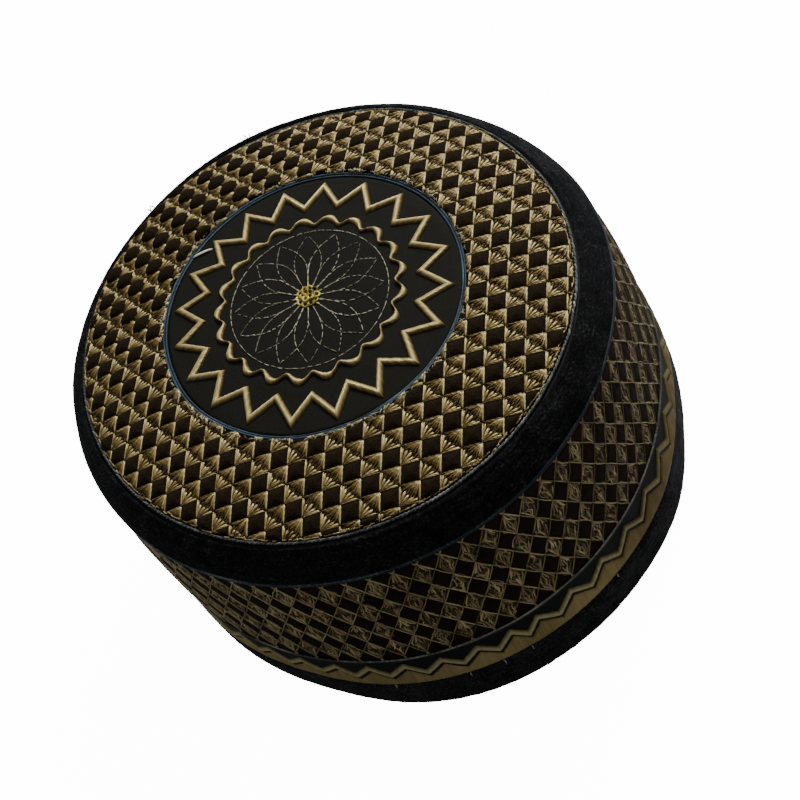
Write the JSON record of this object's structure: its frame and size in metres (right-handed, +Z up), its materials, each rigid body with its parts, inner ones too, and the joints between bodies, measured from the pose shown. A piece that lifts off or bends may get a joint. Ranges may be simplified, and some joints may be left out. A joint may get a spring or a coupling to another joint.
{
  "type": "prayer cap",
  "caption": "Oval velvet prayer cap with a low domed crown, a star medallion, a netted wall, a zigzag border and padded velvet bands, open underneath for the head.",
  "frame": {"origin": "centre of the rim, on the surface that the cap stands on", "axes": "+Z up through the crown, +Y along the cap's longer way, from the wearer's brow to the back of the head, X across"},
  "size_m": [0.1842, 0.2064, 0.0969],
  "materials": {
    "crown_cloth": "dark brown cloth with gold stitching",
    "medallion_satin": "smooth charcoal satin",
    "blue_cord": "steel blue satin cord",
    "gold_satin": "gold satin stitch",
    "gold_knot": "gold embroidered knot",
    "black_velvet": "black velvet pile",
    "grey_cord": "blue-grey satin cord",
    "net_cloth": "dark cloth with a net of gold thread",
    "border_gold": "olive gold satin stitch"
  },
  "bodies": {
    "root": {"crown_panel": "crown_cloth", "medallion": "medallion_satin", "medallion_cord": "blue_cord", "star": "gold_satin", "scallop_ring": "gold_satin", "centre_knot": "gold_knot", "crown_cord": "blue_cord", "crown_band": "black_velvet", "side_cord_upper": "grey_cord", "side_panel": "net_cloth", "side_cord_lower": "grey_cord", "border_band": "border_gold", "border_zigzag": "gold_satin", "rim_band": "black_velvet"}
  },
  "joints": []
}
